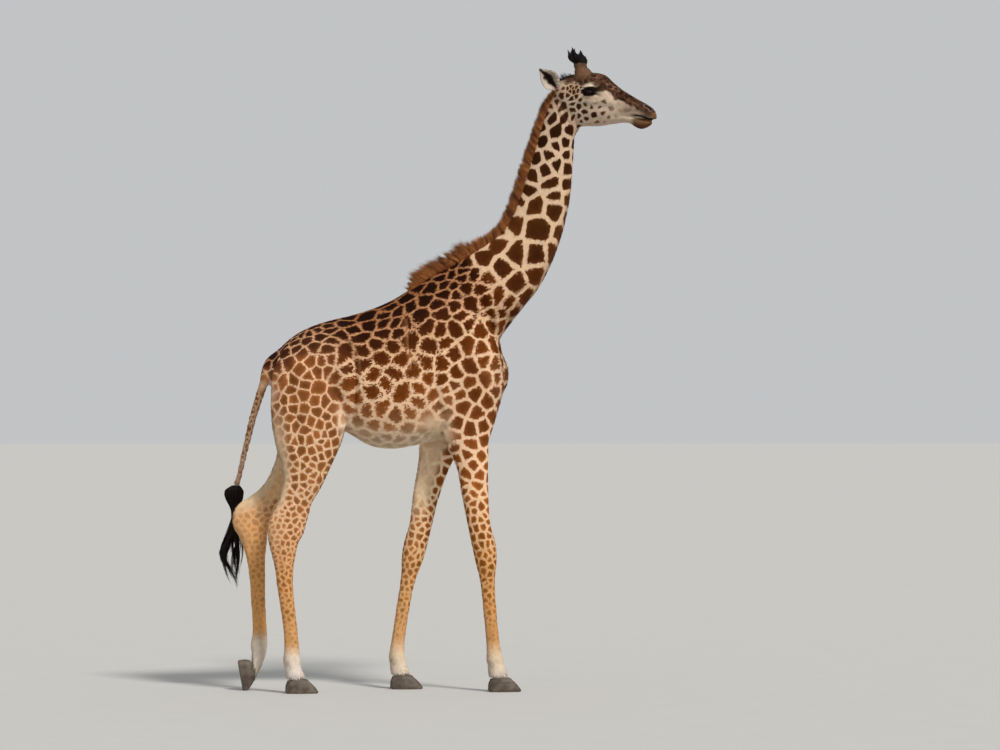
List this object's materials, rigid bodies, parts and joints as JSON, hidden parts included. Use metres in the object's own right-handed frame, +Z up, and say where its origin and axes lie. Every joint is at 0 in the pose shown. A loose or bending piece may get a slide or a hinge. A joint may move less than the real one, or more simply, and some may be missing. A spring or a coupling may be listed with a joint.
{
  "type": "giraffe",
  "caption": "Life-size still model of a young adult Masai giraffe, standing with its head turned a little to its right.",
  "frame": {"origin": "on the ground, at the middle of the animal's length and width as it stands", "axes": "+X forward, along the trunk towards the breast, +Y to the animal's left, +Z up"},
  "size_m": [2.8178, 0.656, 4.1845],
  "materials": {
    "coat": "short flat coat, brown patches on cream",
    "mane_hair": "stiff upright red-brown hair",
    "black_hair": "long coarse black hair",
    "eye": "wet dark eye",
    "horn_skin": "skin-covered horn with short fur",
    "hoof": "worn dull horn"
  },
  "bodies": {
    "root": {"head": "coat", "neck_upper": "coat", "neck_middle": "coat", "neck_lower": "coat", "trunk": "coat", "tail_upper": "coat", "tail_lower": "coat", "tail_tuft": "black_hair", "mane_upper": "mane_hair", "mane_lower": "mane_hair", "ear_right": "coat", "ear_left": "coat", "eye_right": "eye", "eye_left": "eye", "horn_right": "horn_skin", "horn_left": "horn_skin", "horn_tuft_right": "black_hair", "horn_tuft_left": "black_hair", "leg_fore_right_upper": "coat", "leg_fore_right_cannon": "coat", "leg_fore_right_foot": "coat", "leg_fore_left_upper": "coat", "leg_fore_left_cannon": "coat", "leg_fore_left_foot": "coat", "leg_hind_right_upper": "coat", "leg_hind_right_cannon": "coat", "leg_hind_right_foot": "coat", "leg_hind_left_upper": "coat", "leg_hind_left_cannon": "coat", "leg_hind_left_foot": "coat", "hoof_fore_right_outer": "hoof", "hoof_fore_right_inner": "hoof", "hoof_fore_left_outer": "hoof", "hoof_fore_left_inner": "hoof", "hoof_hind_right_outer": "hoof", "hoof_hind_right_inner": "hoof", "hoof_hind_left_outer": "hoof", "hoof_hind_left_inner": "hoof"}
  },
  "joints": []
}
